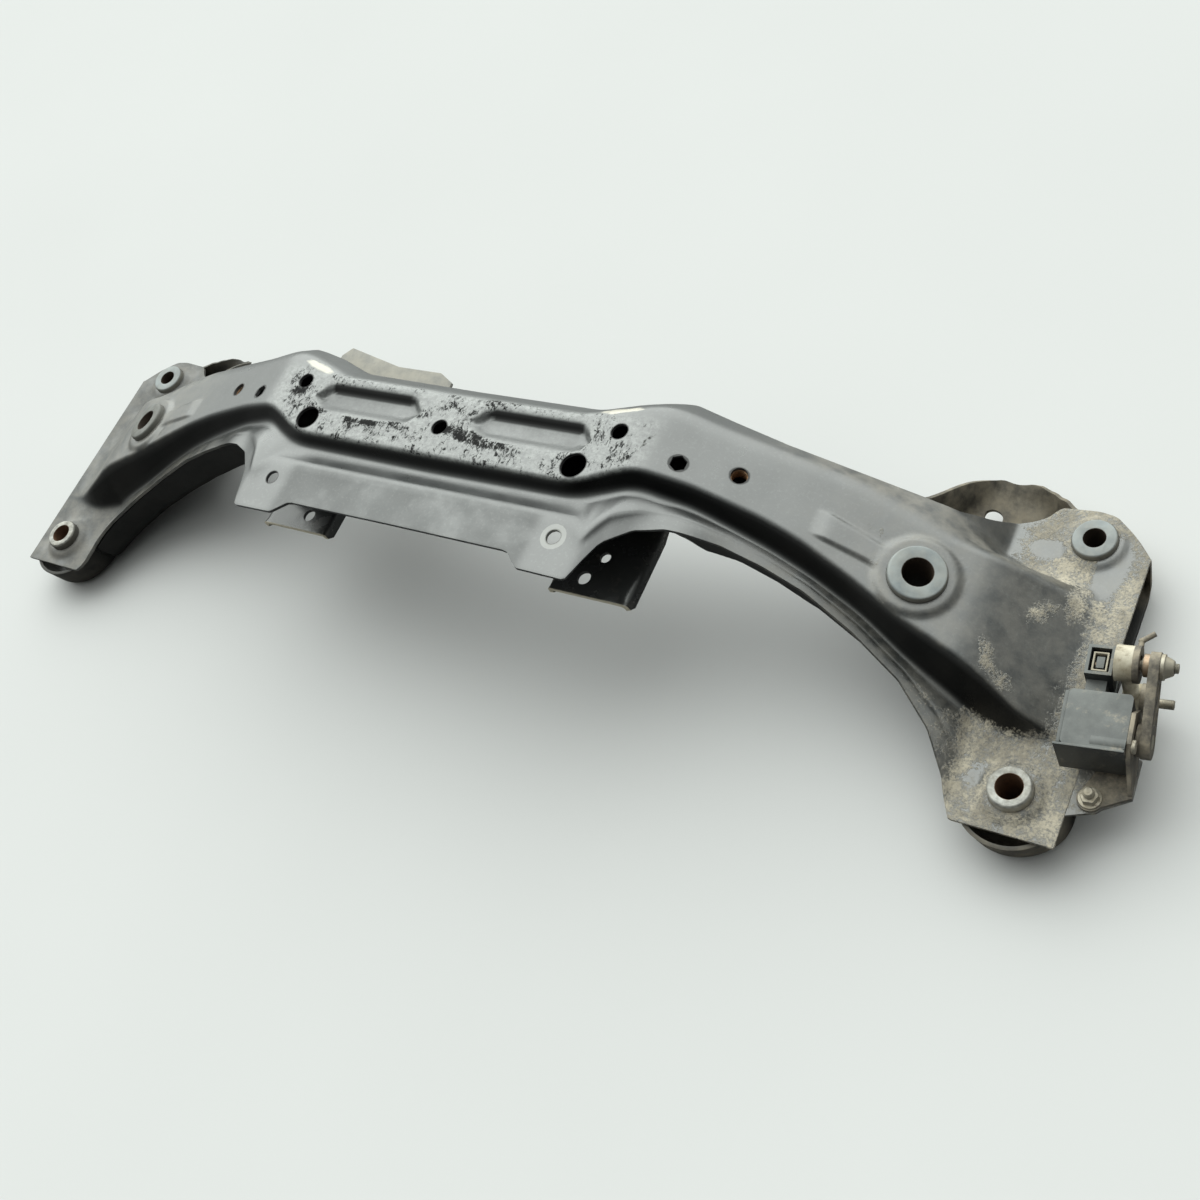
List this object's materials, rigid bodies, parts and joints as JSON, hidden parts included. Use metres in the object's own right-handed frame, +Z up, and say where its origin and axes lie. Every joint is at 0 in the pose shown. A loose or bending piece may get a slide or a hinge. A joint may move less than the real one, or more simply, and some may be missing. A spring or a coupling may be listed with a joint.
{
  "type": "suspension subframe",
  "caption": "Arched welded sheet-steel suspension subframe with mounting sleeves, collars and under-beam brackets, and a lever-type ride-height sensor on one end.",
  "frame": {"origin": "midway between the seats of the two front body sleeves", "axes": "+X to the right end with the sensor, +Y to the rear, +Z up along the sleeves"},
  "size_m": [1.0133, 0.2634, 0.1564],
  "materials": {
    "shell_paint": "semi-gloss paint, scuffed on the crown, mud on the right end",
    "lower_paint": "dull black paint, dusty",
    "sleeve_steel": "galvanised, rust in the bores",
    "collar_paint": "slate paint",
    "bracket_paint": "gloss black paint",
    "rear_bracket_paint": "dusty grey paint",
    "fastener_steel": "zinc plated, dirty",
    "rusty_steel": "rusty",
    "sensor_plastic": "dusty dark plastic",
    "link_plastic": "yellowed plastic, dirty",
    "clip_plastic": "dark, dusty",
    "washer_copper": "tarnished"
  },
  "bodies": {
    "frame": {"upper_shell": "shell_paint", "lower_middle": "lower_paint", "lower_end_left": "lower_paint", "lower_end_right": "lower_paint", "front_sleeve_left": "sleeve_steel", "front_sleeve_right": "sleeve_steel", "rear_sleeve_left": "collar_paint", "rear_sleeve_right": "collar_paint", "arm_collar_left": "collar_paint", "arm_collar_right": "collar_paint", "weld_nuts": "rusty_steel", "front_bracket_left": "bracket_paint", "front_bracket_right": "bracket_paint", "rear_bracket": "rear_bracket_paint", "sensor_ear": "shell_paint", "sensor_bracket": "clip_plastic", "bracket_stud": "fastener_steel", "bracket_nut": "fastener_steel", "sensor_housing": "sensor_plastic", "sensor_cover": "sensor_plastic", "connector_terminals": "washer_copper", "housing_screws": "fastener_steel"},
    "lever": {"sensor_shaft": "fastener_steel", "sensor_lever": "clip_plastic", "lever_ball_stud": "fastener_steel", "stud_washer": "washer_copper", "stud_nut": "fastener_steel"},
    "link": {"link_rod": "link_plastic", "link_clips": "clip_plastic"},
    "arm_stud": {"arm_ball_stud": "fastener_steel", "arm_stud_nut": "rusty_steel"}
  },
  "joints": [
    {"name": "lever_turn", "type": "hinge", "parent": "frame", "child": "lever", "pos_m": [0.51351, 0.04423, 0.012], "axis": [0.9925, 0.1219, 0], "range_deg": [-15, 40]},
    {"name": "link_swing", "type": "hinge", "parent": "lever", "child": "link", "pos_m": [0.49913, 0.08343, 0.0301], "axis": [0.9925, 0.1219, 0], "range_deg": [-15, 30]},
    {"name": "arm_stud_turn", "type": "hinge", "parent": "link", "child": "arm_stud", "pos_m": [0.49913, 0.08343, -0.0199], "axis": [0.9925, 0.1219, 0], "range_deg": [-40, 40]}
  ]
}
